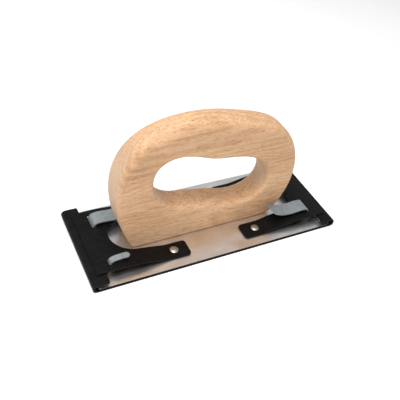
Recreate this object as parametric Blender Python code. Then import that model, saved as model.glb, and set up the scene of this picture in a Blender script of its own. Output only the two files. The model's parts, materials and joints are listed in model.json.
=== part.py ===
"""A hand sander: a padded steel sole whose ends are curled over, a wooden loop handle screwed to it, and at each end
a riveted spring clamp with a cam lever that lifts it off the curl, so that a strip of abrasive can be slipped under.

Metres, +Z up. X runs along the sole and Y across it. The origin is the middle of the pad's underside.
The two ends are the same parts turned by half a turn about Z.
"""

import math

import bmesh
import bpy
import numpy as np
from mathutils import Vector
from mathutils.geometry import tessellate_polygon

MM = 0.001

# Clearances
SEAT_GAP = 0.3 * MM  # between pieces that rest on each other
HOLE_CLEARANCE = 0.3 * MM  # around shanks, heads and pockets

# Sole: rubber pad outside, steel plate inside, both curled over at the ends
SOLE_LENGTH = 230 * MM
SOLE_WIDTH = 88 * MM
PAD_THICKNESS = 1.6 * MM
PLATE_THICKNESS = 1.0 * MM
CURL_OPENING = 2.3 * MM  # daylight between the plate and its folded leaf
LEAF_LENGTH = 14 * MM  # from the end of the sole back to the leaf's free edge
LEAF_CORNER = 1.5 * MM
PLATE_INSET = 0.6 * MM  # how far the plate's free edge stops short of the pad's
SIDE_INSET = 0.4 * MM  # how far the plate's long edges stop short of the pad's
FOLD_INSET = 4.0 * MM  # the same for the narrower ends that are folded over

# Handle
HANDLE_LENGTH = 165 * MM
HANDLE_HEIGHT = 116 * MM
HANDLE_THICKNESS = 24 * MM
GRIP_ROUNDING = 10 * MM  # of the edges at the top, growing from the rounding at the foot
FOOT_ROUNDING = 1.5 * MM
HOLE_ROUNDING = 3.5 * MM
FOOT_FILLET = 4 * MM  # size of the round where the rim meets the foot
HANDLE_SECTIONS = 112

# Clamps
CLAMP_THICKNESS = 1.0 * MM
CLAMP_WIDTH = 70.4 * MM
CLAMP_SETBACK = 6.0 * MM  # from the end of the sole to the clamp's outer edge
CLAMP_CORNER = 0.8 * MM
CUTOUT_SIDE_CLEARANCE = 6.4 * MM  # between the handle's face and the clamp's arm
CUTOUT_END_CLEARANCE = 4.9 * MM  # the cutout goes this far past the handle's reach
ARM_END_X = 26.3 * MM
ARM_END_CORNER = 3.0 * MM
CREST_SETBACK = 24 * MM  # from the end of the sole to where the arms stop rising
CREST_RISE = 1.2 * MM  # how much higher the crest is than the clamping edge
RISE_POWER = 1.1  # how gently the arms leave the plate
BEND_PAST_HEAD = 1.25 * MM  # from the rivet's head to the arm's bend

# Rivets and screws
RIVET_X = 39.4 * MM
RIVET_HEAD_RADIUS = 3.85 * MM
RIVET_HEAD_HEIGHT = 1.7 * MM
RIVET_HEAD_RIM = 0.35 * MM  # upright part of the head under the dome
RIVET_SHANK_RADIUS = 2.0 * MM
RIVET_TAIL_RADIUS = 3.0 * MM
TAIL_HEIGHT = 0.6 * MM
SCREW_X = 45 * MM
SCREW_HEAD_RADIUS = 3.8 * MM
SCREW_SHANK_RADIUS = 2.0 * MM
SCREW_LENGTH = 23 * MM
SCREW_POINT = 5 * MM

# Levers
LEVER_THICKNESS = 1.0 * MM
LEVER_SETBACK = 20 * MM  # from the end of the sole to the lever's pivot in its slots
PIVOT_BELOW_CLAMP = 0.2 * MM  # pivot under the clamp's lower face
LEG_REACH = 4.8 * MM  # how far outboard the cam leg's tip is
LEG_TIP_CLEARANCE = 0.7 * MM  # middle of the leg's tip above the plate
TAB_INNER_Y = 15.2 * MM
TAB_OUTER_Y = 28.5 * MM
TONGUE_INNER_Y = 22.7 * MM
TONGUE_OUTER_Y = 28.2 * MM
SLOT_LENGTH_CLEARANCE = 0.8 * MM
SLOT_OUTBOARD = 1.7 * MM
SLOT_INBOARD = 2.5 * MM
SLOT_CORNER = 0.8 * MM
BAR_BELOW_PIVOT = 1.0 * MM  # from the pivot down to the bar that joins the tab to the tongue

# Heights and places that follow
PLATE_BOTTOM = PAD_THICKNESS + SEAT_GAP
PLATE_TOP = PLATE_BOTTOM + PLATE_THICKNESS
CURL_CENTRE_Z = PLATE_TOP + CURL_OPENING / 2
CURL_TOP = 2 * CURL_CENTRE_Z
SOLE_END = SOLE_LENGTH / 2
HANDLE_FOOT = PLATE_TOP + SEAT_GAP
ARM_BOTTOM = PLATE_TOP + SEAT_GAP
ARM_TOP = ARM_BOTTOM + CLAMP_THICKNESS
CLAMP_EDGE_X = SOLE_END - CLAMP_SETBACK
CLAMP_EDGE_BOTTOM = CURL_TOP + SEAT_GAP
CREST_X = SOLE_END - CREST_SETBACK
CREST_BOTTOM = CLAMP_EDGE_BOTTOM + CREST_RISE
CUTOUT_RADIUS = HANDLE_THICKNESS / 2 + CUTOUT_SIDE_CLEARANCE
CUTOUT_END = HANDLE_LENGTH / 2 + CUTOUT_END_CLEARANCE
ARM_OUTER_Y = CLAMP_WIDTH / 2
RIVET_Y = (CUTOUT_RADIUS + ARM_OUTER_Y) / 2
BEND_X = RIVET_X + RIVET_HEAD_RADIUS + BEND_PAST_HEAD
BEND_Z = ARM_BOTTOM + CLAMP_THICKNESS / 2
PIVOT_X = SOLE_END - LEVER_SETBACK

# The handle's outline and its finger hole, as points on a sole-high grid, in millimetres, anticlockwise from +X.
# The outline runs on under the foot, and the foot's plane cuts it off.
OUTLINE = [(79.0, 58), (62.1, 93.9), (30.3, 110.5), (0, 118), (-35.1, 118.8), (-73.2, 100.3),
           (-85.4, 58), (-75.7, 14.3), (-46.9, -23.2), (0, -31.4), (41.0, -13.1), (71.1, 17.0)]
OUTLINE_CENTRE = (0, 58)
FINGER_HOLE = [(48.5, 60), (22.7, 76.5), (5.0, 79.1), (-6, 81.2), (-21.3, 86.5), (-48.5, 84.6),
               (-53.6, 60), (-38.8, 41.1), (-20.0, 35.8), (-6, 33.0), (12.0, 28.9), (44.2, 31.0)]
FINGER_HOLE_CENTRE = (-6, 60)
OUTLINE_LENGTH = 165  # of the outline as drawn, in millimetres
OUTLINE_HEIGHT = 116

# The lever's finger tab and short tongue, past the pivot: (inboard, up) from the pivot, in millimetres
TAB_PATH = [(0.4, 1.4), (1.6, 2.8), (3.8, 3.6), (7.0, 3.9), (11.0, 3.8), (16.5, 3.3), (22.0, 3.4),
            (27.5, 4.2), (33.5, 6.2), (39.5, 9.4)]
TONGUE_PATH = [(0.4, 1.4), (2.2, 2.4), (5.0, 3.1), (9.0, 3.5), (13.0, 3.6), (16.4, 3.5)]
TAB_OUTER_CORNER = 4.6 * MM
TONGUE_END_SHARE = 0.999  # just under 1, so the tongue's round end leaves its sides a real edge
TAB_INNER_CORNER = 1.5 * MM


def clear_scene():
    for old in list(bpy.data.objects):
        bpy.data.objects.remove(old, do_unlink=True)


def material(name, colour, metallic, roughness):
    made = bpy.data.materials.new(name)
    made.use_nodes = True
    shader = made.node_tree.nodes["Principled BSDF"]
    shader.inputs["Base Color"].default_value = (*colour, 1.0)
    shader.inputs["Metallic"].default_value = metallic
    shader.inputs["Roughness"].default_value = roughness
    return made


def add_object(name, bm, finish, location=(0, 0, 0), turn=0.0, parent=None):
    """Make an object from bm, whose coordinates are local to location."""
    bmesh.ops.remove_doubles(bm, verts=bm.verts, dist=1e-6)
    bmesh.ops.triangulate(bm, faces=bm.faces)
    bmesh.ops.recalc_face_normals(bm, faces=bm.faces)
    mesh = bpy.data.meshes.new(name)
    bm.to_mesh(mesh)
    bm.free()
    mesh.materials.append(finish)
    made = bpy.data.objects.new(name, mesh)
    bpy.context.scene.collection.objects.link(made)
    made.location = location
    made.rotation_euler = (0, 0, turn)
    made.parent = parent
    return made


def smooth(made, angle=35.0):
    made.data.shade_smooth()
    made.data.set_sharp_from_angle(angle=math.radians(angle))


def arc(centre, radius, start, end, steps):
    """Points along an arc, angles in degrees."""
    points = []
    for i in range(steps + 1):
        a = math.radians(start + (end - start) * i / steps)
        points.append((centre[0] + radius * math.cos(a), centre[1] + radius * math.sin(a)))
    return points


def circle(centre, radius, steps=20):
    return arc(centre, radius, 0, 360, steps)[:-1]


def rounded_rectangle(x0, x1, y0, y1, radii):
    """Corners in the order (x1, y0), (x1, y1), (x0, y1), (x0, y0)."""
    corners = [(x1, y0, -1, 1, -90), (x1, y1, -1, -1, 0), (x0, y1, 1, -1, 90), (x0, y0, 1, 1, 180)]
    points = []
    for (x, y, sx, sy, start), radius in zip(corners, radii):
        if radius > 0:
            points += arc((x + sx * radius, y + sy * radius), radius, start, start + 90, 4)
        else:
            points.append((x, y))
    return points


def sheet(loops, thickness, stations, place):
    """A bent sheet: its flat pattern's loops (outline, then holes) in (s, y), cut at each station along s,
    then each point (s, y, t) moved to place(s, y, t), where t is the distance from the sheet's middle."""
    flat = [[Vector((s, y, 0)) for s, y in loop] for loop in loops]
    points = [p for loop in flat for p in loop]
    triangles = tessellate_polygon(flat)
    bm = bmesh.new()
    sides = []
    for t in (-thickness / 2, thickness / 2):
        verts = [bm.verts.new((p.x, p.y, t)) for p in points]
        sides.append(verts)
        for triangle in triangles:
            bm.faces.new([verts[i] for i in triangle])
    first = 0
    for loop in flat:
        count = len(loop)
        for i in range(count):
            a = first + i
            b = first + (i + 1) % count
            bm.faces.new((sides[0][a], sides[0][b], sides[1][b], sides[1][a]))
        first += count
    bmesh.ops.recalc_face_normals(bm, faces=bm.faces)
    for s in stations:
        geometry = bm.verts[:] + bm.edges[:] + bm.faces[:]
        bmesh.ops.bisect_plane(bm, geom=geometry, plane_co=(s, 0, 0), plane_no=(1, 0, 0), dist=1e-7)
    for vert in bm.verts:
        vert.co = place(vert.co.x, vert.co.y, vert.co.z)
    return bm


def lathe(profile, segments=24):
    """A turned solid about Z from its profile's (radius, height) points, bottom to top, ends on the axis."""
    bm = bmesh.new()
    rings = []
    for radius, z in profile:
        if radius == 0:
            rings.append([bm.verts.new((0, 0, z))])
        else:
            rings.append([bm.verts.new((x, y, z)) for x, y in circle((0, 0), radius, segments)])
    for lower, upper in zip(rings, rings[1:]):
        for i in range(segments):
            j = (i + 1) % segments
            corners = [lower[i % len(lower)], lower[j % len(lower)], upper[j % len(upper)], upper[i % len(upper)]]
            bm.faces.new(list(dict.fromkeys(corners)))
    return bm


def curl_place(centre_radius):
    """Placing function for a layer of the sole: flat, round the end, and back along the leaf."""
    flat_end = SOLE_END - CURL_CENTRE_Z
    turn_end = flat_end + math.pi * centre_radius

    def place(s, y, t):
        side = math.copysign(1.0, s)
        run = abs(s)
        if run <= flat_end:
            return (s, y, CURL_CENTRE_Z - centre_radius + t)
        if run <= turn_end:
            a = (run - flat_end) / centre_radius
            radius = centre_radius - t
            return (side * (flat_end + radius * math.sin(a)), y, CURL_CENTRE_Z - radius * math.cos(a))
        return (side * (flat_end - (run - turn_end)), y, CURL_CENTRE_Z + centre_radius - t)

    return place


def curl_layer(thickness, centre_radius, leaf_edge, side_inset, fold_inset, holes):
    """One layer of the sole, whose leaf ends at x = leaf_edge, narrower where it is folded over."""
    flat_end = SOLE_END - CURL_CENTRE_Z
    turn_end = flat_end + math.pi * centre_radius
    half = turn_end + flat_end - leaf_edge
    width = SOLE_WIDTH / 2 - side_inset
    fold_width = SOLE_WIDTH / 2 - fold_inset
    fold = rounded_rectangle(-half, half, -fold_width, fold_width, [LEAF_CORNER] * 4)
    steps = len(fold) // 4
    shoulders = [[]] * 4
    if fold_width < width:
        radius = width - fold_width
        shoulders = [arc((sx * (flat_end - radius), sy * fold_width), radius, start, start + 90, 4)
                     for sx, sy, start in ((1, 1, 0), (-1, 1, 90), (-1, -1, 180), (1, -1, 270))]
    outline = fold[:2 * steps] + shoulders[0] + shoulders[1] + fold[2 * steps:] + shoulders[2] + shoulders[3]
    turns = [flat_end + math.pi * centre_radius * i / 10 for i in range(11)]
    stations = [side * s for s in turns for side in (-1, 1)]
    return sheet([outline] + holes, thickness, stations, curl_place(centre_radius))


def fastener_places():
    rivets = [(sx * RIVET_X, sy * RIVET_Y) for sx in (-1, 1) for sy in (-1, 1)]
    screws = [(-SCREW_X, 0.0), (SCREW_X, 0.0)]
    return rivets, screws


def cut(made, cutter_bm, name):
    """Subtract a hidden cutter from made."""
    mesh = bpy.data.meshes.new(name)
    bmesh.ops.recalc_face_normals(cutter_bm, faces=cutter_bm.faces)
    cutter_bm.to_mesh(mesh)
    cutter_bm.free()
    cutter = bpy.data.objects.new(name, mesh)
    bpy.context.scene.collection.objects.link(cutter)
    cutter.hide_render = True
    cutter.display_type = "WIRE"
    modifier = made.modifiers.new(name, "BOOLEAN")
    modifier.object = cutter
    modifier.operation = "DIFFERENCE"
    modifier.solver = "EXACT"


def cylinders(places, radius, z0, z1, segments=24):
    """Several upright cylinders in one mesh."""
    bm = bmesh.new()
    for x, y in places:
        rings = [[bm.verts.new((px, py, z)) for px, py in circle((x, y), radius, segments)] for z in (z0, z1)]
        bm.faces.new(list(reversed(rings[0])))
        bm.faces.new(rings[1])
        for i in range(segments):
            j = (i + 1) % segments
            bm.faces.new((rings[0][i], rings[0][j], rings[1][j], rings[1][i]))
    return bm


def make_sole(steel, rubber):
    rivets, screws = fastener_places()
    holes = [circle(p, RIVET_SHANK_RADIUS + HOLE_CLEARANCE) for p in rivets]
    holes += [circle(p, SCREW_SHANK_RADIUS + HOLE_CLEARANCE) for p in screws]
    leaf_edge = SOLE_END - LEAF_LENGTH
    plate_radius = CURL_OPENING / 2 + PLATE_THICKNESS / 2
    plate = curl_layer(PLATE_THICKNESS, plate_radius, leaf_edge + PLATE_INSET, SIDE_INSET, FOLD_INSET, holes)
    smooth(add_object("base_plate", plate, steel))
    pad_radius = CURL_CENTRE_Z - PAD_THICKNESS / 2
    pad = add_object("rubber_pad", curl_layer(PAD_THICKNESS, pad_radius, leaf_edge, 0.0, 0.0, []), rubber)
    smooth(pad)
    floor = PAD_THICKNESS - TAIL_HEIGHT - HOLE_CLEARANCE
    rivet_pockets = cylinders(rivets, RIVET_TAIL_RADIUS + HOLE_CLEARANCE, floor, PLATE_BOTTOM)
    cut(pad, rivet_pockets, "rivet_pockets")
    screw_pockets = cylinders(screws, SCREW_HEAD_RADIUS + HOLE_CLEARANCE, floor, PLATE_BOTTOM)
    cut(pad, screw_pockets, "screw_pockets")


def loop_samples(points, centre, count):
    """A closed smooth curve through points round centre, sampled at count equal angles about it.
    The distance from the centre is a periodic cubic spline of the angle."""
    scale_x = HANDLE_LENGTH / OUTLINE_LENGTH
    scale_z = HANDLE_HEIGHT / OUTLINE_HEIGHT
    turn = 2 * math.pi
    angles, radii = np.array(sorted((math.atan2(z - centre[1], x - centre[0]) % turn,
                                     math.hypot(x - centre[0], z - centre[1])) for x, z in points)).T
    n = len(angles)
    gaps = np.diff(angles, append=angles[0] + turn)
    rises = np.roll(radii, -1) - radii
    system = np.zeros((n, n))
    for i in range(n):
        system[i, i] = 2 / gaps[i - 1] + 2 / gaps[i]
        system[i, i - 1] = 1 / gaps[i - 1]
        system[i, (i + 1) % n] = 1 / gaps[i]
    pulls = rises / gaps**2
    slopes = np.linalg.solve(system, 3 * (pulls + np.roll(pulls, 1)))
    samples = []
    for k in range(count):
        angle = turn * k / count
        i = int(np.searchsorted(angles, angle + 1e-9)) - 1
        j = (i + 1) % n
        u = ((angle - angles[i]) % turn) / gaps[i]
        radius = ((2 * u**3 - 3 * u**2 + 1) * radii[i] + (u**3 - 2 * u**2 + u) * slopes[i] * gaps[i]
                  + (-2 * u**3 + 3 * u**2) * radii[j] + (u**3 - u**2) * slopes[j] * gaps[i])
        x = (centre[0] + radius * math.cos(angle)) * scale_x
        z = (centre[1] + radius * math.sin(angle)) * scale_z
        samples.append(Vector((x, z)))
    return samples


def soft_floor(z, floor, blend):
    """z, but never under floor, with a round of size blend where the two meet."""
    if z > floor + blend:
        return z
    if z < floor - blend:
        return floor
    return floor + (z - floor + blend)**2 / (4 * blend)


def outward_normals(samples):
    count = len(samples)
    normals = []
    for i in range(count):
        along = samples[(i + 1) % count] - samples[i - 1]
        normals.append(Vector((along.y, -along.x)).normalized())
    return normals


def rounded_rim(point, normal, rounding, inward):
    """Points across the rim at one section, front to back: two quarter rounds joined by a flat."""
    half = HANDLE_THICKNESS / 2
    rim = []
    for side in (-1, 1):
        for k in range(5):
            a = math.radians(90 * k / 4)
            if side < 0:
                a = math.radians(90) - a
            inset = rounding * (1 - math.cos(a))
            y = side * (half - rounding + rounding * math.sin(a))
            spot = point + normal * (inward * inset)
            rim.append((spot.x, y, spot.y))
    return rim


def make_handle(wood):
    outer = loop_samples(OUTLINE, OUTLINE_CENTRE, HANDLE_SECTIONS)
    outer = [Vector((p.x, soft_floor(p.y, HANDLE_FOOT, FOOT_FILLET))) for p in outer]
    inner = loop_samples(FINGER_HOLE, FINGER_HOLE_CENTRE, HANDLE_SECTIONS)
    outer_normals = outward_normals(outer)
    inner_normals = outward_normals(inner)
    bm = bmesh.new()
    sections = []
    for i in range(HANDLE_SECTIONS):
        up = (outer[i].y - HANDLE_FOOT) / (HANDLE_HEIGHT - HANDLE_FOOT)
        rounding = FOOT_ROUNDING + (GRIP_ROUNDING - FOOT_ROUNDING) * up**2
        ring = rounded_rim(outer[i], outer_normals[i], rounding, -1)
        ring += reversed(rounded_rim(inner[i], inner_normals[i], HOLE_ROUNDING, 1))
        sections.append([bm.verts.new(p) for p in ring])
    count = len(sections[0])
    for i in range(HANDLE_SECTIONS):
        here = sections[i]
        there = sections[(i + 1) % HANDLE_SECTIONS]
        for k in range(count):
            m = (k + 1) % count
            bm.faces.new((here[k], here[m], there[m], there[k]))
    handle = add_object("handle", bm, wood)
    smooth(handle)
    _, screws = fastener_places()
    bore_top = PLATE_BOTTOM + SCREW_LENGTH + HOLE_CLEARANCE
    bores = cylinders(screws, SCREW_SHANK_RADIUS + HOLE_CLEARANCE, PAD_THICKNESS, bore_top)
    cut(handle, bores, "screw_bores")


def clamp_bottom(x):
    """Height of the clamp's lower face: flat on the plate, rising along the arms, then easing down to its edge."""
    if x <= BEND_X:
        return ARM_BOTTOM
    if x <= CREST_X:
        u = (x - BEND_X) / (CREST_X - BEND_X)
        return ARM_BOTTOM + (CREST_BOTTOM - ARM_BOTTOM) * math.sin(u * math.pi / 2)**RISE_POWER
    u = (x - CREST_X) / (CLAMP_EDGE_X - CREST_X)
    return CREST_BOTTOM - CREST_RISE * u * u


def clamp_outline(x_start):
    """The clamp's plan from x_start outward: two arms and a plate, with a round cutout for the handle's end."""
    centre_x = CUTOUT_END - CUTOUT_RADIUS
    right = rounded_rectangle(x_start, CLAMP_EDGE_X, -ARM_OUTER_Y, ARM_OUTER_Y, [CLAMP_CORNER, CLAMP_CORNER, 0, 0])
    cutout = [(x_start, CUTOUT_RADIUS)]
    cutout += arc((centre_x, 0), CUTOUT_RADIUS, 90, -90, 24)
    cutout += [(x_start, -CUTOUT_RADIUS)]
    return right[:-1] + cutout + right[-1:]


def make_clamp(end, turn, hinge, black):
    def place(x, y, t):
        return (x - BEND_X, y, clamp_bottom(x) + CLAMP_THICKNESS / 2 + t - BEND_Z)

    slots = []
    for y0, y1 in ((-TAB_OUTER_Y, -TAB_INNER_Y), (TONGUE_INNER_Y, TONGUE_OUTER_Y)):
        slots.append(rounded_rectangle(PIVOT_X - SLOT_INBOARD, PIVOT_X + SLOT_OUTBOARD,
                                       y0 - SLOT_LENGTH_CLEARANCE, y1 + SLOT_LENGTH_CLEARANCE, [SLOT_CORNER] * 4))
    start = BEND_X + SEAT_GAP / 2
    rises = [BEND_X + (CREST_X - BEND_X) * i / 9 for i in range(1, 10)]
    falls = [CREST_X + (CLAMP_EDGE_X - CREST_X) * i / 5 for i in range(1, 5)]
    bm = sheet([clamp_outline(start)] + slots, CLAMP_THICKNESS, rises + falls, place)
    smooth(add_object(f"clamp_plate_{end}", bm, black, parent=hinge))
    for side, where in ((-1, "front"), (1, "back")):
        y0, y1 = sorted((side * CUTOUT_RADIUS, side * ARM_OUTER_Y))
        corners = [0, 0, ARM_END_CORNER, ARM_END_CORNER]
        pattern = rounded_rectangle(ARM_END_X, BEND_X - SEAT_GAP / 2, y0, y1, corners)
        hole = circle((RIVET_X, side * RIVET_Y), RIVET_SHANK_RADIUS + HOLE_CLEARANCE)
        root = sheet([pattern, hole], CLAMP_THICKNESS, [], lambda x, y, t: (x, y, BEND_Z + t))
        if turn:
            where = "back" if where == "front" else "front"
        add_object(f"clamp_root_{end}_{where}", root, black, turn=turn)


def smooth_path(points, steps=4):
    """Catmull-Rom points through points, steps to each span."""
    ends = [2 * points[0] - points[1]] + points + [2 * points[-1] - points[-2]]
    path = []
    for i in range(1, len(ends) - 2):
        p0, p1, p2, p3 = ends[i - 1:i + 3]
        for k in range(steps):
            u = k / steps
            path.append(0.5 * (2 * p1 + (p2 - p0) * u + (2 * p0 - 5 * p1 + 4 * p2 - p3) * u * u
                               + (3 * p1 - p0 - 3 * p2 + p3) * u**3))
    path.append(points[-1])
    return path


def along_path(path):
    """Lengths along path, and a function that gives the point and normal at a length."""
    lengths = [0.0]
    for a, b in zip(path, path[1:]):
        lengths.append(lengths[-1] + (b - a).length)

    def at(s):
        s = min(max(s, 0.0), lengths[-1])
        i = max(j for j in range(len(path) - 1) if lengths[j] <= s + 1e-12)
        u = (s - lengths[i]) / (lengths[i + 1] - lengths[i])
        point = path[i].lerp(path[i + 1], u)
        before = path[max(i - 1, 0)]
        after = path[min(i + 2, len(path) - 1)]
        tangent = (path[i + 1] - before).lerp(after - path[i], u).normalized()
        return point, Vector((tangent.y, -tangent.x))

    return lengths, at


def lever_paths():
    """Paths of the tab and of the tongue in (x, z) from the pivot: both start at the cam leg's tip."""
    pivot_z = clamp_bottom(PIVOT_X) - PIVOT_BELOW_CLAMP
    tip = Vector((LEG_REACH, PLATE_TOP + LEG_TIP_CLEARANCE - pivot_z))
    paths = []
    for shape in (TAB_PATH, TONGUE_PATH):
        points = [Vector((-x * MM, z * MM)) for x, z in shape]
        path = smooth_path([Vector((0, 0))] + points)
        paths.append([tip, tip * 0.5] + path)
    return pivot_z, paths


def make_lever(end, turn, pivot, zinc):
    pivot_z, (tab, tongue) = lever_paths()
    tab_lengths, tab_at = along_path(tab)
    tongue_lengths, tongue_at = along_path(tongue)
    bar = tab_lengths[2] - BAR_BELOW_PIVOT
    tab_end = tab_lengths[-1]
    tongue_end = tongue_lengths[-1]
    tongue_round = (TONGUE_OUTER_Y - TONGUE_INNER_Y) / 2
    tongue_middle = (TONGUE_OUTER_Y + TONGUE_INNER_Y) / 2
    outline = [(0, -TAB_OUTER_Y)]
    outline += arc((tab_end - TAB_OUTER_CORNER, -TAB_OUTER_Y + TAB_OUTER_CORNER), TAB_OUTER_CORNER, -90, 0, 7)
    outline += arc((tab_end - TAB_INNER_CORNER, -TAB_INNER_Y - TAB_INNER_CORNER), TAB_INNER_CORNER, 0, 90, 4)
    outline += [(bar, -TAB_INNER_Y), (bar, TONGUE_INNER_Y)]
    outline += arc((tongue_end - tongue_round, tongue_middle), tongue_round * TONGUE_END_SHARE, -90, 90, 10)
    outline += [(0, TONGUE_OUTER_Y)]

    def place(s, y, t):
        point, normal = (tab_at if y < 0 else tongue_at)(s)
        spot = point + normal * t
        return (spot.x, y, spot.y)

    stations = sorted(set(round(s, 6) for s in tab_lengths[2:-1:2] + tongue_lengths[2:-1:2]))
    bm = sheet([outline], LEVER_THICKNESS, stations, place)
    smooth(add_object(f"release_lever_{end}", bm, zinc, parent=pivot))


def make_rivets(bright):
    head_bottom = ARM_TOP + SEAT_GAP
    tail_top = PAD_THICKNESS
    tail_bottom = tail_top - TAIL_HEIGHT
    dome = []
    for i in range(5):
        a = math.radians(90 * i / 5)
        dome.append((RIVET_HEAD_RADIUS * math.cos(a), head_bottom + RIVET_HEAD_RIM
                     + (RIVET_HEAD_HEIGHT - RIVET_HEAD_RIM) * math.sin(a)))
    profile = [(0, tail_bottom), (RIVET_TAIL_RADIUS, tail_bottom), (RIVET_TAIL_RADIUS, tail_top),
               (RIVET_SHANK_RADIUS, tail_top), (RIVET_SHANK_RADIUS, head_bottom), (RIVET_HEAD_RADIUS, head_bottom)]
    profile += dome + [(0, head_bottom + RIVET_HEAD_HEIGHT)]
    rivets, _ = fastener_places()
    for x, y in rivets:
        end = "left" if x < 0 else "right"
        where = "front" if y < 0 else "back"
        smooth(add_object(f"rivet_{end}_{where}", lathe(profile), bright, location=(x, y, 0)))


def make_screws(bright):
    head_top = PAD_THICKNESS
    point = head_top + SCREW_LENGTH
    profile = [(0, head_top - TAIL_HEIGHT), (SCREW_HEAD_RADIUS, head_top - TAIL_HEIGHT),
               (SCREW_HEAD_RADIUS, head_top),
               (SCREW_SHANK_RADIUS, head_top), (SCREW_SHANK_RADIUS, point - SCREW_POINT), (0, point)]
    _, screws = fastener_places()
    for x, y in screws:
        end = "left" if x < 0 else "right"
        smooth(add_object(f"handle_screw_{end}", lathe(profile), bright, location=(x, y, 0)))


def joint_empty(name, location, turn):
    made = bpy.data.objects.new(name, None)
    bpy.context.scene.collection.objects.link(made)
    made.location = location
    made.rotation_euler = (0, 0, turn)
    return made


def main():
    clear_scene()
    wood = material("beech", (0.68, 0.45, 0.27), 0.0, 0.55)
    steel = material("bright_steel", (0.72, 0.70, 0.67), 1.0, 0.25)
    rubber = material("black_rubber", (0.02, 0.02, 0.02), 0.0, 0.7)
    black = material("black_paint", (0.015, 0.015, 0.015), 0.0, 0.45)
    zinc = material("zinc", (0.45, 0.48, 0.50), 1.0, 0.5)
    bright = material("rivet_steel", (0.7, 0.7, 0.68), 1.0, 0.3)
    make_sole(steel, rubber)
    make_handle(wood)
    for end, side, turn in (("left", -1, math.pi), ("right", 1, 0.0)):
        hinge = joint_empty(f"hinge_{end}", (side * BEND_X, 0, BEND_Z), turn)
        make_clamp(end, turn, hinge, black)
        pivot = joint_empty(f"pivot_{end}", (side * PIVOT_X, 0, lever_paths()[0]), turn)
        make_lever(end, turn, pivot, zinc)
    make_rivets(bright)
    make_screws(bright)


main()
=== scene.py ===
"""The looks of a hand sander: a padded steel sole with curled ends, a wooden loop handle, and at each end
a sprung black clamp with a zinc-plated release lever. Metres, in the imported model's frame."""

import json
import math

import bmesh
import bpy
import numpy as np
from mathutils import Matrix, Vector
from mathutils.geometry import tessellate_polygon

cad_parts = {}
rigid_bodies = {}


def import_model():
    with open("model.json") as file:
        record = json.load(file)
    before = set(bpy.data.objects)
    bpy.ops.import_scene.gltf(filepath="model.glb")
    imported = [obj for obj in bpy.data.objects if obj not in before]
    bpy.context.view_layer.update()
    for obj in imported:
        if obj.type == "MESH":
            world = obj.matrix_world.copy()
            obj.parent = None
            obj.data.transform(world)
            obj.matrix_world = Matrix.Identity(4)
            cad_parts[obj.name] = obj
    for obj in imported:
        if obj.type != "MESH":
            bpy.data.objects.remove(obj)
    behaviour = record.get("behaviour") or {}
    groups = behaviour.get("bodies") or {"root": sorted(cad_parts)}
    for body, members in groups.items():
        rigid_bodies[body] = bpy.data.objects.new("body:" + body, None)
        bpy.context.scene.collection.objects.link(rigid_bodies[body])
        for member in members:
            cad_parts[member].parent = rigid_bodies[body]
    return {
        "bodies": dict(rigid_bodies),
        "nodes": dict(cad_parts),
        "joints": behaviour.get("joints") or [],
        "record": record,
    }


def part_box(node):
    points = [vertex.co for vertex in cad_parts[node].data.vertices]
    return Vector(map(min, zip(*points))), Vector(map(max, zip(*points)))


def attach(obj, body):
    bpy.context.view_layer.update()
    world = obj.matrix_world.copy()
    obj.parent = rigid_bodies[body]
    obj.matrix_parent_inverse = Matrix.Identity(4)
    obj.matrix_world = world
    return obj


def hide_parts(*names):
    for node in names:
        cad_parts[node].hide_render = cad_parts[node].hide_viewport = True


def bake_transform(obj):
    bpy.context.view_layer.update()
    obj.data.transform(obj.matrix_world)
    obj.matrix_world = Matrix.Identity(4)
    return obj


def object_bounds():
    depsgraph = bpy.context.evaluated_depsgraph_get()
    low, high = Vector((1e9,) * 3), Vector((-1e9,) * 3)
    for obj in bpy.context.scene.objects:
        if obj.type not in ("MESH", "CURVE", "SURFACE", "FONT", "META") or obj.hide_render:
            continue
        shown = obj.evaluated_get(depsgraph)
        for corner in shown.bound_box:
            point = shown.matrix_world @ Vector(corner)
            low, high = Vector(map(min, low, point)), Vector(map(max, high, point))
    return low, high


MM = 0.001
MERGE_DISTANCE = 1e-6

# Camera, round the middle of the handle
CAMERA_AZIMUTH = math.radians(-32.08)
CAMERA_ELEVATION = math.radians(42.01)
CAMERA_ROLL = math.radians(9.26)
CAMERA_DISTANCE = 0.4673
CAMERA_TARGET = Vector((-0.0158, -0.0169, 0.0460))
CAMERA_LENS = 51.6
SENSOR_WIDTH = 36.0
CLIP_START = 0.01

# Lights and floor
WORLD_STRENGTH = 0.62
KEY_PLACE = (-0.24, -0.14, 1.02)
KEY_SIZE = 0.7
KEY_POWER = 14.0
FILL_PLACE = (-0.75, -0.75, 0.50)
FILL_SIZE = 0.8
FILL_POWER = 1.5
EXPOSURE = -0.18
FLOOR_HALF = 3.0

# Sheet metal and rubber
PLATE_THICKNESS = 1.0 * MM
PAD_THICKNESS = 1.6 * MM
CLAMP_THICKNESS = 1.0 * MM
LEVER_THICKNESS = 1.0 * MM
HOLE_CLEARANCE = 0.3 * MM
PLATE_EDGE = 0.22 * MM  # width of the softened edges
PAD_EDGE = 0.35 * MM
SHEET_EDGE = 0.25 * MM

# Sole
LEAF_LENGTH = 14 * MM
PLATE_INSET = 0.6 * MM
LEAF_CORNER = 1.5 * MM
FOLD_INSET = 4.0 * MM
FASTENER_SHANK = 2.0 * MM

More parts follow.
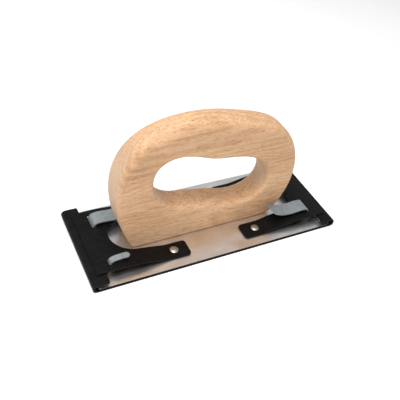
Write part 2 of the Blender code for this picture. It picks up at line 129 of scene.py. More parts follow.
# Handle: points of its outline and finger hole, as x and height in millimetres. The outline's points below
# the floor only steer the curve, because soft_floor flattens the foot.
OUTLINE = [(79.0, 58), (62.1, 93.9), (30.3, 110.5), (0, 118), (-35.1, 118.8), (-73.2, 100.3),
           (-85.4, 58), (-75.7, 14.3), (-46.9, -23.2), (0, -31.4), (41.0, -13.1), (71.1, 17.0)]
OUTLINE_CENTRE = (0, 58)
FINGER_HOLE = [(48.5, 60), (22.7, 76.5), (5.0, 79.1), (-6, 81.2), (-21.3, 86.5), (-48.5, 84.6),
               (-53.6, 60), (-38.8, 41.1), (-20.0, 35.8), (-6, 33.0), (12.0, 28.9), (44.2, 31.0)]
FINGER_HOLE_CENTRE = (-6, 60)
GRIP_ROUNDING = 10 * MM
HOLE_ROUNDING = 3.5 * MM
FOOT_ROUNDING = 1.5 * MM
FOOT_FILLET = 4 * MM
HANDLE_TOP = 116 * MM
HANDLE_SECTIONS = 288
RIM_STEPS = 10
FACE_STEPS = 4

# Clamps
CREST_SETBACK = 24 * MM
CREST_RISE = 1.2 * MM
RISE_POWER = 1.1
CLAMP_CORNER = 0.8 * MM
ARM_CORNER = 3.0 * MM
CUTOUT_END = 87.4 * MM
SLOT_INBOARD = 2.5 * MM
SLOT_OUTBOARD = 1.7 * MM
SLOT_END = 0.8 * MM
SLOT_CORNER = 0.8 * MM

# Levers
LEG_REACH = 4.8 * MM
LEG_TIP_CLEARANCE = 0.7 * MM
BAR_BELOW_PIVOT = 1.0 * MM
TAB_INNER_Y = 15.2 * MM
TAB_OUTER_Y = 28.5 * MM
TONGUE_INNER_Y = 22.7 * MM
TONGUE_OUTER_Y = 28.2 * MM
TAB_OUTER_CORNER = 4.6 * MM
TAB_INNER_CORNER = 1.5 * MM
TONGUE_END_SHARE = 0.999  # just under 1, which keeps the round end's points off the straight sides
TAB_PATH = [(0.4, 1.4), (1.6, 2.8), (3.8, 3.6), (7.0, 3.9), (11.0, 3.8), (16.5, 3.3), (22.0, 3.4),
            (27.5, 4.2), (33.5, 6.2), (39.5, 9.4)]
TONGUE_PATH = [(0.4, 1.4), (2.2, 2.4), (5.0, 3.1), (9.0, 3.5), (13.0, 3.6), (16.4, 3.5)]

# Rivets
RIVET_HEAD_HEIGHT = 1.7 * MM
RIVET_RIM = 0.35 * MM
RIVET_TAIL = 3.0 * MM
RIVET_TAIL_HEIGHT = 0.6 * MM
RIM_FOOT_SHARE = 0.97
DOME_POWER = 0.8

# How finely curves are cut
CORNER_STEPS = 8
CIRCLE_STEPS = 32
TURNED_STEPS = 48
CURL_STEPS = 24
CUTOUT_STEPS = 48
RISE_STEPS = 24
FALL_STEPS = 12
PATH_STEPS = 8
TAB_OUTER_STEPS = 20
TAB_INNER_STEPS = 10
TONGUE_STEPS = 24
DOME_STEPS = 12
SHARP_ANGLE = 35.0  # degrees
HANDLE_SHARP_ANGLE = 60.0

# Colours, and stops of colour ramps
WOOD_TONES = [(0.38, (0.660, 0.420, 0.245)), (0.52, (0.570, 0.345, 0.188)),
              (0.64, (0.465, 0.264, 0.136)), (0.78, (0.330, 0.168, 0.078))]
# greyer end grain, made darker than the wood's own colour as painted shade from the black clamps
END_GRAIN_AND_SHADE_COLOUR = (0.50, 0.380, 0.275)
PORE_COLOUR = (0.31, 0.150, 0.068)
STEEL_TINTS = [(0.3, (0.76, 0.745, 0.73)), (0.7, (0.88, 0.872, 0.864))]
STEEL_SPECK = (0.50, 0.46, 0.43)
STEEL_SCRATCH = (0.92, 0.91, 0.90)
# painted shade for the long cut edges of the sole plate, in place of their bright reflection
CUT_EDGE_PAINTED_SHADE = (0.05, 0.046, 0.042)
RUBBER_TONES = [(0.35, (0.0035, 0.0033, 0.0032)), (0.75, (0.0085, 0.0080, 0.0076))]
PAINT_TONES = [(0.35, (0.0020, 0.0020, 0.0021)), (0.75, (0.0030, 0.0030, 0.0030))]
WORN_PAINT = (0.06, 0.057, 0.054)
ZINC_TONES = [(0.38, (0.185, 0.208, 0.218)), (0.62, (0.255, 0.280, 0.290))]
RIVET_TONES = [(0.35, (0.38, 0.36, 0.32)), (0.65, (0.50, 0.48, 0.44))]
FLOOR_TONES = [(0.3, 0.90), (0.7, 0.92)]


# ---------------------------------------------------------------- frame

def load_frame():
    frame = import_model()
    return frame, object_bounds()


# ---------------------------------------------------------------- node materials

class Graph:
    """A small helper that adds shader nodes and links them."""

    def __init__(self, name):
        self.material = bpy.data.materials.new(name)
        self.material.use_nodes = True
        self.tree = self.material.node_tree
        self.shader = self.tree.nodes["Principled BSDF"]

    def node(self, kind, inputs=None, **settings):
        made = self.tree.nodes.new("ShaderNode" + kind)
        for key, value in settings.items():
            setattr(made, key, value)
        for key, value in (inputs or {}).items():
            self.set(made.inputs[key], value)
        return made

    def set(self, socket, value):
        if isinstance(value, bpy.types.NodeSocket):
            self.tree.links.new(value, socket)
        else:
            socket.default_value = value

    def shade(self, **inputs):
        """Set or link the shader's own inputs, such as base_color."""
        for key, value in inputs.items():
            self.set(self.shader.inputs[key.replace("_", " ").title()], value)

    def coordinates(self, scale, rotation=(0, 0, 0), location=(0, 0, 0)):
        """Object coordinates in millimetres, times scale."""
        source = self.node("TexCoord").outputs["Object"]
        mapping = self.node("Mapping", {"Vector": source, "Scale": [s / MM for s in scale],
                                        "Rotation": rotation, "Location": location})
        return mapping.outputs["Vector"]

    def noise(self, vector, detail=4.0, roughness=0.55):
        made = self.node("TexNoise", {"Vector": vector, "Scale": 1.0, "Detail": detail,
                                      "Roughness": roughness})
        return made.outputs["Fac"]

    def ramp(self, value, stops):
        made = self.node("ValToRGB", {"Fac": value})
        elements = made.color_ramp.elements
        while len(elements) < len(stops):
            elements.new(0.5)
        for element, (position, colour) in zip(elements, stops):
            element.position = position
            level = colour if isinstance(colour, tuple) else (colour,) * 3
            element.color = (*level, 1.0)
        return made.outputs["Color"]

    def span(self, value, low, high, to_low=0.0, to_high=1.0):
        made = self.node("MapRange", {"Value": value, "From Min": low, "From Max": high, "To Min": to_low,
                                      "To Max": to_high})
        return made.outputs["Result"]

    def math(self, operation, a, b=0.0):
        made = self.node("Math", operation=operation)
        self.set(made.inputs[0], a)
        self.set(made.inputs[1], b)
        return made.outputs["Value"]

    def mix(self, factor, a, b):
        made = self.node("Mix", data_type="RGBA")
        self.set(made.inputs["Factor"], factor)
        self.set(made.inputs["A"], a if isinstance(a, bpy.types.NodeSocket) else (*a, 1.0))
        self.set(made.inputs["B"], b if isinstance(b, bpy.types.NodeSocket) else (*b, 1.0))
        return made.outputs["Result"]

    def bump(self, height, strength, distance, normal=None):
        inputs = {"Height": height, "Strength": strength, "Distance": distance}
        if normal is not None:
            inputs["Normal"] = normal
        return self.node("Bump", inputs).outputs["Normal"]

    def facing(self, axis):
        """How far the surface faces along an axis of the object, either way."""
        parts = self.node("SeparateXYZ", {"Vector": self.node("TexCoord").outputs["Normal"]})
        return self.math("ABSOLUTE", parts.outputs[axis])

    def edges(self):
        """Near 1 on convex edges and near 0 elsewhere."""
        pointiness = self.node("NewGeometry").outputs["Pointiness"]
        return self.span(pointiness, 0.505, 0.56)


def wood_material():
    g = Graph("handle_wood")
    # growth rings: slices through a slowly wandering stack that runs along the handle
    wander = g.noise(g.coordinates((0.008, 0.022, 0.022)), detail=2.0)
    bent = g.node("VectorMath", operation="ADD")
    stack = g.coordinates((0.005, 0.10, 0.10), rotation=(0, math.radians(5), 0), location=(0, 4.0, -12))
    g.set(bent.inputs[0], stack)
    lift = g.node("CombineXYZ", {"Y": g.span(wander, 0.3, 0.7, -1.1, 1.1),
                                 "Z": g.span(wander, 0.3, 0.7, -1.8, 1.8)})
    g.set(bent.inputs[1], lift.outputs["Vector"])
    shape = {"Vector": bent.outputs["Vector"], "Scale": 0.8, "Distortion": 0.9, "Detail": 3.0,
             "Detail Scale": 1.5}
    rings = g.node("TexWave", shape, wave_type="RINGS", rings_direction="X", wave_profile="SIN")
    ring = rings.outputs["Fac"]
    # long fibres, finer hairs, short dark pores and broad patches
    streak = g.noise(g.coordinates((0.025, 0.45, 0.45)), detail=3.0, roughness=0.55)
    fibre = g.noise(g.coordinates((0.085, 1.5, 1.5)), detail=4.0, roughness=0.65)
    hair = g.noise(g.coordinates((0.22, 4.2, 4.2)), detail=3.0, roughness=0.6)
    patch = g.noise(g.coordinates((0.014, 0.035, 0.035)), detail=3.0)
    tone = g.math("ADD", g.math("MULTIPLY", ring, 0.10), g.math("MULTIPLY", streak, 0.32))
    tone = g.math("ADD", tone, g.math("MULTIPLY", fibre, 0.40))
    tone = g.math("ADD", tone, g.math("MULTIPLY", hair, 0.22))
    tone = g.math("ADD", tone, g.span(patch, 0.3, 0.7, -0.09, 0.09))
    colour = g.ramp(tone, WOOD_TONES)
    # the ends of the fibres, on the two end faces, are greyer, and darkened further as painted shade from the
    # black clamps; pores show most on faces that look up or down
    end_grain_and_shade = g.span(g.facing("X"), 0.55, 0.95)
    colour = g.mix(g.math("MULTIPLY", end_grain_and_shade, 0.50), colour, END_GRAIN_AND_SHADE_COLOUR)
    flat_sawn = g.span(g.facing("Z"), 0.25, 0.90, 0.38, 0.90)
    pore = g.span(g.noise(g.coordinates((0.30, 1.9, 1.9)), detail=2.0, roughness=0.5), 0.56, 0.64)
    speck = g.span(g.noise(g.coordinates((0.17, 0.80, 0.80), location=(3, 1, 7)), detail=1.0), 0.66, 0.71)
    marks = g.math("MAXIMUM", g.math("MULTIPLY", pore, flat_sawn), g.math("MULTIPLY", speck, 0.70))
    colour = g.mix(marks, colour, PORE_COLOUR)
    g.shade(base_color=colour, roughness=g.span(fibre, 0.3, 0.7, 0.48, 0.60))
    g.shader.inputs["Specular IOR Level"].default_value = 0.35
    fine = g.bump(hair, 0.15, 0.00008, g.bump(fibre, 0.22, 0.00012))
    g.shade(normal=g.bump(pore, -0.4, 0.00015, fine))
    return g.material


def steel_material():
    g = Graph("sole_steel")
    rolled = g.noise(g.coordinates((0.04, 2.6, 2.6)), detail=3.0, roughness=0.55)
    smudge = g.noise(g.coordinates((0.05, 0.09, 0.09)), detail=4.0, roughness=0.6)
    speck = g.span(g.noise(g.coordinates((0.5, 0.9, 0.9)), detail=3.0), 0.66, 0.74)
    scratch = g.span(g.noise(g.coordinates((0.05, 2.6, 2.6), rotation=(0, 0, 0.35)), detail=1.0), 0.66, 0.72)
    tint = g.ramp(smudge, STEEL_TINTS)
    tint = g.mix(g.math("MULTIPLY", speck, 0.20), tint, STEEL_SPECK)
    tint = g.mix(g.math("MULTIPLY", scratch, 0.25), tint, STEEL_SCRATCH)
    # painted shade: the long cut edges are painted near black, so they don't show the floor's bright
    # reflection
    g.shade(base_color=g.mix(g.span(g.facing("Y"), 0.88, 0.98), tint, CUT_EDGE_PAINTED_SHADE))
    g.shader.inputs["Metallic"].default_value = 1.0
    dull = g.span(smudge, 0.25, 0.75, 0.27, 0.38)
    g.shade(roughness=g.math("ADD", dull, g.math("MULTIPLY", scratch, 0.05)))
    g.shade(normal=g.bump(rolled, 0.06, 0.00003))
    return g.material


def rubber_material():
    g = Graph("pad_rubber")
    grain = g.noise(g.coordinates((1.6, 1.6, 1.6)), detail=5.0, roughness=0.7)
    dust = g.noise(g.coordinates((0.10, 0.16, 0.16)), detail=5.0, roughness=0.65)
    g.shade(base_color=g.ramp(dust, RUBBER_TONES))
    g.shade(roughness=g.span(dust, 0.3, 0.7, 0.50, 0.66), normal=g.bump(grain, 0.40, 0.00010))
    g.shader.inputs["Specular IOR Level"].default_value = 0.09
    return g.material


def paint_material():
    g = Graph("clamp_paint")
    peel = g.noise(g.coordinates((0.9, 0.9, 0.9)), detail=3.0)
    scuff = g.noise(g.coordinates((0.07, 0.10, 0.10)), detail=6.0, roughness=0.6)
    scratch = g.span(g.noise(g.coordinates((0.10, 2.4, 2.4), rotation=(0, 0, 0.5)), detail=2.0), 0.66, 0.74)
    chips = g.span(g.noise(g.coordinates((0.4, 0.4, 0.4)), detail=5.0), 0.50, 0.64)
    worn = g.math("MULTIPLY", g.edges(), chips)
    base = g.ramp(scuff, PAINT_TONES)
    g.shade(base_color=g.mix(g.math("MULTIPLY", worn, 0.15), base, WORN_PAINT))
    dull = g.span(scuff, 0.3, 0.7, 0.36, 0.46)
    g.shade(roughness=g.math("ADD", dull, g.math("MULTIPLY", scratch, 0.08)))
    g.shade(normal=g.bump(scratch, -0.05, 0.00003, g.bump(peel, 0.06, 0.00004)))
    g.shader.inputs["Specular IOR Level"].default_value = 0.13
    return g.material


def zinc_material():
    g = Graph("lever_zinc")
    spangle = g.noise(g.coordinates((0.30, 0.30, 0.30)), detail=3.0, roughness=0.6)
    grain = g.noise(g.coordinates((1.3, 1.3, 1.3)), detail=5.0, roughness=0.7)
    tone = g.math("ADD", g.math("MULTIPLY", spangle, 0.55), g.math("MULTIPLY", grain, 0.45))
    g.shade(base_color=g.ramp(tone, ZINC_TONES))
    g.shader.inputs["Metallic"].default_value = 0.40
    g.shade(roughness=g.span(grain, 0.3, 0.7, 0.48, 0.62), normal=g.bump(grain, 0.18, 0.00008))
    return g.material


def rivet_material():
    g = Graph("rivet_steel")
    grain = g.noise(g.coordinates((0.9, 0.9, 0.9)), detail=4.0, roughness=0.6)
    g.shade(base_color=g.ramp(grain, RIVET_TONES))
    g.shader.inputs["Metallic"].default_value = 1.0
    g.shade(roughness=g.span(grain, 0.3, 0.7, 0.30, 0.42), normal=g.bump(grain, 0.12, 0.00008))
    return g.material


# ---------------------------------------------------------------- mesh helpers

def add_piece(name, bm, finish, bevel=0.0, segments=2, angle=SHARP_ANGLE):
    """Make a shown piece from bm, in the frame's own coordinates."""
    bmesh.ops.remove_doubles(bm, verts=bm.verts, dist=MERGE_DISTANCE)
    bmesh.ops.recalc_face_normals(bm, faces=bm.faces)
    mesh = bpy.data.meshes.new(name)
    bm.to_mesh(mesh)
    bm.free()
    mesh.materials.append(finish)
    mesh.shade_smooth()
    mesh.set_sharp_from_angle(angle=math.radians(angle))
    made = bpy.data.objects.new(name, mesh)
    bpy.context.scene.collection.objects.link(made)
    if bevel:
        modifier = made.modifiers.new("edge", "BEVEL")
        modifier.width = bevel
        modifier.segments = segments
        modifier.limit_method = "ANGLE"
        modifier.angle_limit = math.radians(angle)
        modifier.harden_normals = True
        modifier.use_clamp_overlap = True
    return made


def apply_modifiers(made):
    """Replace the piece's mesh with what its modifiers make of it."""
    evaluated = made.evaluated_get(bpy.context.evaluated_depsgraph_get())
    mesh = bpy.data.meshes.new_from_object(evaluated)
    made.modifiers.clear()
    made.data = mesh


def arc(centre, radius, start, end, steps):
    """Points along an arc, angles in degrees."""
    points = []
    for i in range(steps + 1):
        a = math.radians(start + (end - start) * i / steps)
        points.append((centre[0] + radius * math.cos(a), centre[1] + radius * math.sin(a)))
    return points


def circle(centre, radius, steps=CIRCLE_STEPS):
    return arc(centre, radius, 0, 360, steps)[:-1]


def rounded_rectangle(x0, x1, y0, y1, radii):
    """Corners in the order (x1, y0), (x1, y1), (x0, y1), (x0, y0)."""
    corners = [(x1, y0, -1, 1, -90), (x1, y1, -1, -1, 0), (x0, y1, 1, -1, 90), (x0, y0, 1, 1, 180)]
    points = []
    for (x, y, sx, sy, start), radius in zip(corners, radii):
        if radius > 0:
            points += arc((x + sx * radius, y + sy * radius), radius, start, start + 90, CORNER_STEPS)
        else:
            points.append((x, y))
    return points


def sheet(loops, thickness, stations, place):
    """A bent sheet: its flat pattern's loops (outline, then holes) in (s, y), cut at each station along s,
    then each point (s, y, t) moved to place(s, y, t), where t is the distance from the sheet's middle."""
    flat = [[Vector((s, y, 0)) for s, y in loop] for loop in loops]
    points = [p for loop in flat for p in loop]
    triangles = tessellate_polygon(flat)
    bm = bmesh.new()
    sides = []
    for t in (-thickness / 2, thickness / 2):
        verts = [bm.verts.new((p.x, p.y, t)) for p in points]
        sides.append(verts)
        for triangle in triangles:
            bm.faces.new([verts[i] for i in triangle])
    first = 0
    for loop in flat:
        count = len(loop)
        for i in range(count):
            a = first + i
            b = first + (i + 1) % count
            bm.faces.new((sides[0][a], sides[0][b], sides[1][b], sides[1][a]))
        first += count
    bmesh.ops.recalc_face_normals(bm, faces=bm.faces)
    flats = [e for e in bm.edges if len(e.link_faces) == 2 and e.calc_face_angle(1.0) < 1e-4]
    bmesh.ops.dissolve_edges(bm, edges=flats, use_verts=False)
    for s in stations:
        geometry = bm.verts[:] + bm.edges[:] + bm.faces[:]
        bmesh.ops.bisect_plane(bm, geom=geometry, plane_co=(s, 0, 0), plane_no=(1, 0, 0), dist=1e-7)
    bmesh.ops.triangulate(bm, faces=[f for f in bm.faces if len(f.verts) > 4])
    for vert in bm.verts:
        vert.co = place(vert.co.x, vert.co.y, vert.co.z)
    return bm


def lathe(profile, centre, segments=TURNED_STEPS):
    """A turned solid about an upright axis through centre, from (radius, height) points, ends on the axis."""
    bm = bmesh.new()
    rings = []
    for radius, z in profile:
        if radius == 0:
            rings.append([bm.verts.new((centre[0], centre[1], z))])
        else:
            rings.append([bm.verts.new((x, y, z)) for x, y in circle(centre, radius, segments)])
    for lower, upper in zip(rings, rings[1:]):
        for i in range(segments):
            j = (i + 1) % segments
            corners = [lower[i % len(lower)], lower[j % len(lower)],
                       upper[j % len(upper)], upper[i % len(upper)]]
            bm.faces.new(list(dict.fromkeys(corners)))
    return bm


# ---------------------------------------------------------------- sole

def curl_place(centre_z, radius, flat_end):
    """Placing function for a layer of the sole: flat, round the end, and back along the leaf."""
    turn_end = flat_end + math.pi * radius

    def place(s, y, t):
        side = math.copysign(1.0, s)
        run = abs(s)
        if run <= flat_end:
            return (s, y, centre_z - radius + t)
        if run <= turn_end:
            a = (run - flat_end) / radius
            return (side * (flat_end + (radius - t) * math.sin(a)), y, centre_z - (radius - t) * math.cos(a))
        return (side * (flat_end - (run - turn_end)), y, centre_z + radius - t)

    return place


def curl_layer(thickness, layer_box, centre_z, flat_end, leaf_edge, width, fold_width, holes):
    """One layer of the sole, as high as its box says, whose leaf ends at x = leaf_edge and which is narrower
    where it is folded over. The widths are half widths."""
    low, high = layer_box
    radius = (high.z - low.z - thickness) / 2
    half = 2 * flat_end + math.pi * radius - leaf_edge
    fold = rounded_rectangle(-half, half, -fold_width, fold_width, [LEAF_CORNER] * 4)
    steps = len(fold) // 4
    corners = [[]] * 4
    if fold_width < width:
        shoulder = width - fold_width
        x = flat_end - shoulder
        corners = [arc((sx * x, sy * fold_width), shoulder, start, start + 90, CORNER_STEPS)
                   for sx, sy, start in ((1, 1, 0), (-1, 1, 90), (-1, -1, 180), (1, -1, 270))]
    outline = fold[:2 * steps] + corners[0] + corners[1] + fold[2 * steps:] + corners[2] + corners[3]
    turns = [flat_end + math.pi * radius * i / CURL_STEPS for i in range(CURL_STEPS + 1)]
    stations = [side * s for s in turns for side in (-1, 1)]
    return sheet([outline] + holes, thickness, stations, curl_place(centre_z, radius, flat_end))


def make_sole(steel, rubber):
    plate_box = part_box("base_plate")
    pad_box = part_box("rubber_pad")
    centre_z = (pad_box[0].z + pad_box[1].z) / 2
    flat_end = pad_box[1].x - centre_z
    rivets = [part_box(f"rivet_{end}_{where}") for end in ("left", "right") for where in ("front", "back")]
    screws = [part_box(f"handle_screw_{end}") for end in ("left", "right")]
    holes = [circle(((b[0] + b[1]) / 2)[:2], FASTENER_SHANK + HOLE_CLEARANCE) for b in rivets + screws]
    leaf_edge = pad_box[1].x - LEAF_LENGTH
    width = pad_box[1].y
    plate_width = plate_box[1].y
    bm = curl_layer(PLATE_THICKNESS, plate_box, centre_z, flat_end, leaf_edge + PLATE_INSET,
                    plate_width, width - FOLD_INSET, holes)
    plate = add_piece("sole_plate", bm, steel, PLATE_EDGE)
    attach(plate, "base")
    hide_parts("base_plate")
    bm = curl_layer(PAD_THICKNESS, pad_box, centre_z, flat_end, leaf_edge, width, width, [])
    pad = add_piece("sole_pad", bm, rubber, PAD_EDGE, segments=3)
    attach(pad, "base")
    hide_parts("rubber_pad")


# ---------------------------------------------------------------- handle

def loop_samples(points, centre, count):
    """A closed smooth curve through points round centre, sampled at count equal angles about it.
    The distance from the centre is a periodic cubic spline of the angle."""
    turn = 2 * math.pi
    angles, radii = np.array(sorted((math.atan2(z - centre[1], x - centre[0]) % turn,
                                     math.hypot(x - centre[0], z - centre[1])) for x, z in points)).T
    n = len(angles)
    gaps = np.diff(angles, append=angles[0] + turn)
    rises = np.roll(radii, -1) - radii
    system = np.zeros((n, n))
    for i in range(n):
        system[i, i] = 2 / gaps[i - 1] + 2 / gaps[i]
        system[i, i - 1] = 1 / gaps[i - 1]
        system[i, (i + 1) % n] = 1 / gaps[i]
    pulls = rises / gaps**2
    slopes = np.linalg.solve(system, 3 * (pulls + np.roll(pulls, 1)))
    samples = []
    for k in range(count):
        angle = turn * k / count
        i = int(np.searchsorted(angles, angle + 1e-9)) - 1
        j = (i + 1) % n
        u = ((angle - angles[i]) % turn) / gaps[i]
        radius = ((2 * u**3 - 3 * u**2 + 1) * radii[i] + (u**3 - 2 * u**2 + u) * slopes[i] * gaps[i]
                  + (-2 * u**3 + 3 * u**2) * radii[j] + (u**3 - u**2) * slopes[j] * gaps[i])
        x = centre[0] + radius * math.cos(angle)
        z = centre[1] + radius * math.sin(angle)
        samples.append(Vector((x, z)) * MM)
    return samples


def outward_normals(samples):
    count = len(samples)
    normals = []
    for i in range(count):
        along = samples[(i + 1) % count] - samples[i - 1]
        normals.append(Vector((along.y, -along.x)).normalized())
    return normals


def rounded_rim(point, normal, half, rounding, inward):
    """Points across the rim at one section, front to back: two quarter rounds joined by a flat."""
    rim = []
    for side in (-1, 1):
        for k in range(RIM_STEPS + 1):
            a = math.radians(90 * k / RIM_STEPS)
            if side < 0:
                a = math.radians(90) - a
            inset = rounding * (1 - math.cos(a))
            y = side * (half - rounding + rounding * math.sin(a))
            spot = point + normal * (inward * inset)
            rim.append((spot.x, y, spot.y))
    return rim


def make_handle(wood):
    low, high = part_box("handle")
    half = (high.y - low.y) / 2
    foot = low.z
    outer = loop_samples(OUTLINE, OUTLINE_CENTRE, HANDLE_SECTIONS)
    outer = [Vector((p.x, soft_floor(p.y, foot, FOOT_FILLET))) for p in outer]
    inner = loop_samples(FINGER_HOLE, FINGER_HOLE_CENTRE, HANDLE_SECTIONS)
    outer_normals = outward_normals(outer)
    inner_normals = outward_normals(inner)
    bm = bmesh.new()
    sections = []
    for i in range(HANDLE_SECTIONS):
        up = (outer[i].y - foot) / (HANDLE_TOP - foot)
        rounding = FOOT_ROUNDING + (GRIP_ROUNDING - FOOT_ROUNDING) * up**2
        ring = rounded_rim(outer[i], outer_normals[i], half, rounding, -1)
        back = rounded_rim(inner[i], inner_normals[i], half, HOLE_ROUNDING, 1)
        first = ring[0]
        ring += between(ring[-1], back[-1], FACE_STEPS)
        ring += list(reversed(back)) + between(back[0], first, FACE_STEPS)
        sections.append([bm.verts.new(p) for p in ring])
    count = len(sections[0])
    for i in range(HANDLE_SECTIONS):
        here = sections[i]
        there = sections[(i + 1) % HANDLE_SECTIONS]
        for k in range(count):
            m = (k + 1) % count
            bm.faces.new((here[k], here[m], there[m], there[k]))
    handle = add_piece("loop_handle", bm, wood, angle=HANDLE_SHARP_ANGLE)
    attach(handle, "base")
    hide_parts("handle")


def soft_floor(z, floor, blend):
    """z, but never under floor, with a round of size blend where the two meet."""
    if z > floor + blend:
        return z
    if z < floor - blend:
        return floor
    return floor + (z - floor + blend) ** 2 / (4 * blend)


def between(a, b, steps):
    """Points strictly between a and b."""
    start, end = Vector(a), Vector(b)
    return [tuple(start.lerp(end, i / steps)) for i in range(1, steps)]


# ---------------------------------------------------------------- clamps

def turned(place, turn):
    """The same placing function, turned about the frame's Z axis."""
    matrix = Matrix.Rotation(turn, 3, "Z")
    return lambda s, y, t: matrix @ Vector(place(s, y, t))


def clamp_bottom(x, bend_x, crest_x, edge_x, arm_bottom, edge_bottom):
    """Height of the clamp's lower face: flat on the plate, up along the arms, then down to its edge."""
    crest_bottom = edge_bottom + CREST_RISE
    if x <= bend_x:
        return arm_bottom
    if x <= crest_x:
        u = (x - bend_x) / (crest_x - bend_x)
        return arm_bottom + (crest_bottom - arm_bottom) * math.sin(u * math.pi / 2) ** RISE_POWER
    u = (x - crest_x) / (edge_x - crest_x)
    return crest_bottom - CREST_RISE * u * u


def make_clamp(end, turn, black):
    plate_low, plate_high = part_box("clamp_plate_right")
    root_low, root_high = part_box("clamp_root_right_back")
    cutout_radius = root_low.y
    edge_x = plate_high.x
    bend_x = (root_high.x + plate_low.x) / 2
    crest_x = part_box("rubber_pad")[1].x - CREST_SETBACK
    edge_bottom = plate_high.z - CREST_RISE - CLAMP_THICKNESS
    pivot_x = joint_place("right_lever_turn").x
    cutout_x = CUTOUT_END - cutout_radius

    def place(x, y, t):
        z = clamp_bottom(x, bend_x, crest_x, edge_x, root_low.z, edge_bottom) + CLAMP_THICKNESS / 2 + t
        return (x, y, z)

    arm_ends = rounded_rectangle(root_low.x, edge_x, -plate_high.y, plate_high.y,
                                 [CLAMP_CORNER, CLAMP_CORNER, ARM_CORNER, ARM_CORNER])
    cutout = arc((root_low.x + ARM_CORNER, cutout_radius + ARM_CORNER), ARM_CORNER, 180, 270, CORNER_STEPS)
    cutout += arc((cutout_x, 0), cutout_radius, 90, -90, CUTOUT_STEPS)
    cutout += arc((root_low.x + ARM_CORNER, -cutout_radius - ARM_CORNER), ARM_CORNER, 90, 180, CORNER_STEPS)
    steps = CORNER_STEPS + 1
    outline = arm_ends[:3 * steps] + cutout + arm_ends[3 * steps:]
    loops = [outline]
    for lever_y0, lever_y1 in ((-TAB_OUTER_Y, -TAB_INNER_Y), (TONGUE_INNER_Y, TONGUE_OUTER_Y)):
        loops.append(rounded_rectangle(pivot_x - SLOT_INBOARD, pivot_x + SLOT_OUTBOARD,
                                       lever_y0 - SLOT_END, lever_y1 + SLOT_END, [SLOT_CORNER] * 4))
    rivet_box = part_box("rivet_right_back")
    rivet_x = (rivet_box[0].x + rivet_box[1].x) / 2
    rivet_y = (rivet_box[0].y + rivet_box[1].y) / 2
    loops += [circle((rivet_x, side * rivet_y), FASTENER_SHANK + HOLE_CLEARANCE) for side in (-1, 1)]
    rises = [bend_x + (crest_x - bend_x) * i / RISE_STEPS for i in range(RISE_STEPS + 1)]
    falls = [crest_x + (edge_x - crest_x) * i / FALL_STEPS for i in range(1, FALL_STEPS)]
    bm = sheet(loops, CLAMP_THICKNESS, rises + falls, turned(place, turn))
    clamp = add_piece(f"spring_clamp_{end}", bm, black, SHEET_EDGE)
    apply_modifiers(clamp)
    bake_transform(clamp)
    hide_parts(f"clamp_plate_{end}", f"clamp_root_{end}_front", f"clamp_root_{end}_back")


def joint_place(name):
    return Vector(next(j["pos_m"] for j in FRAME["joints"] if j["name"] == name))


# ---------------------------------------------------------------- levers

def smooth_path(points, steps=PATH_STEPS):
    """Catmull-Rom points through points, steps to each span."""
    ends = [2 * points[0] - points[1]] + points + [2 * points[-1] - points[-2]]
    path = []
    for i in range(1, len(ends) - 2):
        p0, p1, p2, p3 = ends[i - 1:i + 3]
        for k in range(steps):
            u = k / steps
            path.append(0.5 * (2 * p1 + (p2 - p0) * u + (2 * p0 - 5 * p1 + 4 * p2 - p3) * u * u
                               + (3 * p1 - p0 - 3 * p2 + p3) * u**3))
    path.append(points[-1])
    return path


def along_path(path):
    """Lengths along path, and a function that gives the point and normal at a length."""
    lengths = [0.0]
    for a, b in zip(path, path[1:]):
        lengths.append(lengths[-1] + (b - a).length)

    def at(s):
        s = min(max(s, 0.0), lengths[-1])
        i = max(j for j in range(len(path) - 1) if lengths[j] <= s + 1e-12)
        u = (s - lengths[i]) / (lengths[i + 1] - lengths[i])
        point = path[i].lerp(path[i + 1], u)
        before = path[max(i - 1, 0)]
        after = path[min(i + 2, len(path) - 1)]
        tangent = (path[i + 1] - before).lerp(after - path[i], u).normalized()
        return point, Vector((tangent.y, -tangent.x))

    return lengths, at


def make_lever(end, turn, zinc):
    pivot = joint_place("right_lever_turn")
    tip = Vector((LEG_REACH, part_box("base_plate")[0].z + PLATE_THICKNESS + LEG_TIP_CLEARANCE - pivot.z))
    runs = []
    for shape in (TAB_PATH, TONGUE_PATH):
        path = smooth_path([Vector((0, 0))] + [Vector((-x * MM, z * MM)) for x, z in shape])
        runs.append(along_path([tip, tip * 0.5] + path))
    (tab_lengths, tab_at), (tongue_lengths, tongue_at) = runs
    bar = tab_lengths[2] - BAR_BELOW_PIVOT
    tab_end = tab_lengths[-1]
    tongue_end = tongue_lengths[-1]
    tongue_round = (TONGUE_OUTER_Y - TONGUE_INNER_Y) / 2
    tongue_middle = (TONGUE_OUTER_Y + TONGUE_INNER_Y) / 2
    outline = [(0, -TAB_OUTER_Y)]
    centre = (tab_end - TAB_OUTER_CORNER, -TAB_OUTER_Y + TAB_OUTER_CORNER)
    outline += arc(centre, TAB_OUTER_CORNER, -90, 0, TAB_OUTER_STEPS)
    centre = (tab_end - TAB_INNER_CORNER, -TAB_INNER_Y - TAB_INNER_CORNER)
    outline += arc(centre, TAB_INNER_CORNER, 0, 90, TAB_INNER_STEPS)
    outline += [(bar, -TAB_INNER_Y), (bar, TONGUE_INNER_Y)]
    centre = (tongue_end - tongue_round, tongue_middle)
    outline += arc(centre, tongue_round * TONGUE_END_SHARE, -90, 90, TONGUE_STEPS)
    outline += [(0, TONGUE_OUTER_Y)]

    def place(s, y, t):
        point, normal = (tab_at if y < 0 else tongue_at)(s)
        spot = point + normal * t
        return (pivot.x + spot.x, y, pivot.z + spot.y)

    stations = sorted(set(round(s, 6) for s in tab_lengths[2:-1:2] + tongue_lengths[2:-1:2]))
    bm = sheet([outline], LEVER_THICKNESS, stations, turned(place, turn))
    lever = add_piece(f"cam_lever_{end}", bm, zinc, SHEET_EDGE)
    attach(lever, f"{end}_lever")
    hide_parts(f"release_lever_{end}")


# ---------------------------------------------------------------- rivets and screws

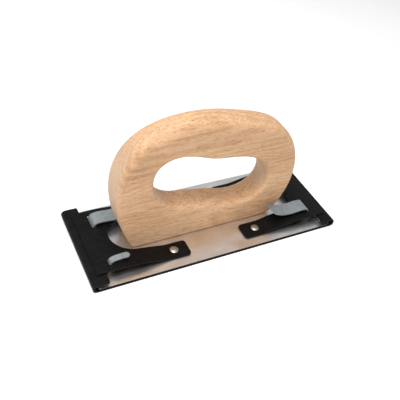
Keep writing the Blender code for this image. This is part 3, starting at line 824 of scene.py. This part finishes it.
def make_rivets(bright):
    for end in ("left", "right"):
        for where in ("front", "back"):
            node = f"rivet_{end}_{where}"
            low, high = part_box(node)
            centre = ((low + high) / 2)[:2]
            head = (high.x - low.x) / 2
            seat = high.z - RIVET_HEAD_HEIGHT
            dome = []
            for i in range(DOME_STEPS):
                a = math.radians(90 * i / DOME_STEPS)
                rise = RIVET_RIM + (RIVET_HEAD_HEIGHT - RIVET_RIM) * math.sin(a)
                dome.append((head * math.cos(a) ** DOME_POWER, seat + rise))
            profile = [(0, low.z), (RIVET_TAIL, low.z), (RIVET_TAIL, low.z + RIVET_TAIL_HEIGHT),
                       (FASTENER_SHANK, low.z + RIVET_TAIL_HEIGHT), (FASTENER_SHANK, seat),
                       (head * RIM_FOOT_SHARE, seat), (head, seat + RIVET_RIM * 0.5)]
            bm = lathe(profile + dome + [(0, high.z)], centre)
            rivet = add_piece(f"dome_{node}", bm, bright)
            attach(rivet, "base")
            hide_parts(node)


def finish_screws(bright):
    """The handle screws are out of sight, so they keep their modelled shape."""
    for end in ("left", "right"):
        screw = FRAME["nodes"][f"handle_screw_{end}"]
        screw.data.materials.clear()
        screw.data.materials.append(bright)


# ---------------------------------------------------------------- stage

def make_camera():
    back = Vector((math.sin(CAMERA_AZIMUTH) * math.cos(CAMERA_ELEVATION),
                   -math.cos(CAMERA_AZIMUTH) * math.cos(CAMERA_ELEVATION), math.sin(CAMERA_ELEVATION)))
    right = Vector((0, 0, 1)).cross(back).normalized()
    up = back.cross(right)
    rolled_right = right * math.cos(CAMERA_ROLL) + up * math.sin(CAMERA_ROLL)
    rolled_up = up * math.cos(CAMERA_ROLL) - right * math.sin(CAMERA_ROLL)
    data = bpy.data.cameras.new("camera")
    data.lens = CAMERA_LENS
    data.sensor_width = SENSOR_WIDTH
    data.clip_start = CLIP_START
    camera = bpy.data.objects.new("camera", data)
    bpy.context.scene.collection.objects.link(camera)
    turn = Matrix((rolled_right, rolled_up, back)).transposed()
    camera.matrix_world = Matrix.Translation(CAMERA_TARGET + back * CAMERA_DISTANCE) @ turn.to_4x4()
    bpy.context.scene.camera = camera


def make_floor():
    bm = bmesh.new()
    bmesh.ops.create_grid(bm, x_segments=1, y_segments=1, size=FLOOR_HALF)
    mesh = bpy.data.meshes.new("floor")
    bm.to_mesh(mesh)
    bm.free()
    g = Graph("floor")
    g.shade(base_color=g.ramp(g.noise(g.coordinates((0.01, 0.01, 0.01))), FLOOR_TONES))
    g.shader.inputs["Roughness"].default_value = 0.9
    g.shader.inputs["Specular IOR Level"].default_value = 0.1
    mesh.materials.append(g.material)
    floor = bpy.data.objects.new("floor", mesh)
    bpy.context.scene.collection.objects.link(floor)
    floor.location.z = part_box("rubber_pad")[0].z


def add_light(name, place, size, power):
    data = bpy.data.lights.new(name, "AREA")
    data.shape = "DISK"
    data.size = size
    data.energy = power
    light = bpy.data.objects.new(name, data)
    bpy.context.scene.collection.objects.link(light)
    light.location = place
    light.rotation_euler = (CAMERA_TARGET - Vector(place)).to_track_quat("-Z", "Y").to_euler()


def make_lights():
    world = bpy.data.worlds.new("studio")
    bpy.context.scene.world = world
    world.use_nodes = True
    background = world.node_tree.nodes["Background"]
    background.inputs["Color"].default_value = (1, 1, 1, 1)
    background.inputs["Strength"].default_value = WORLD_STRENGTH
    add_light("key", KEY_PLACE, KEY_SIZE, KEY_POWER)
    add_light("fill", FILL_PLACE, FILL_SIZE, FILL_POWER)
    bpy.context.scene.view_settings.view_transform = "Standard"
    bpy.context.scene.view_settings.exposure = EXPOSURE


# ---------------------------------------------------------------- build

FRAME, CAD_BOX = load_frame()
make_camera()
make_lights()
make_floor()
bright = rivet_material()
make_sole(steel_material(), rubber_material())
make_handle(wood_material())
black = paint_material()
zinc = zinc_material()
for end, turn in (("left", math.pi), ("right", 0.0)):
    make_clamp(end, turn, black)
    make_lever(end, turn, zinc)
make_rivets(bright)
finish_screws(bright)
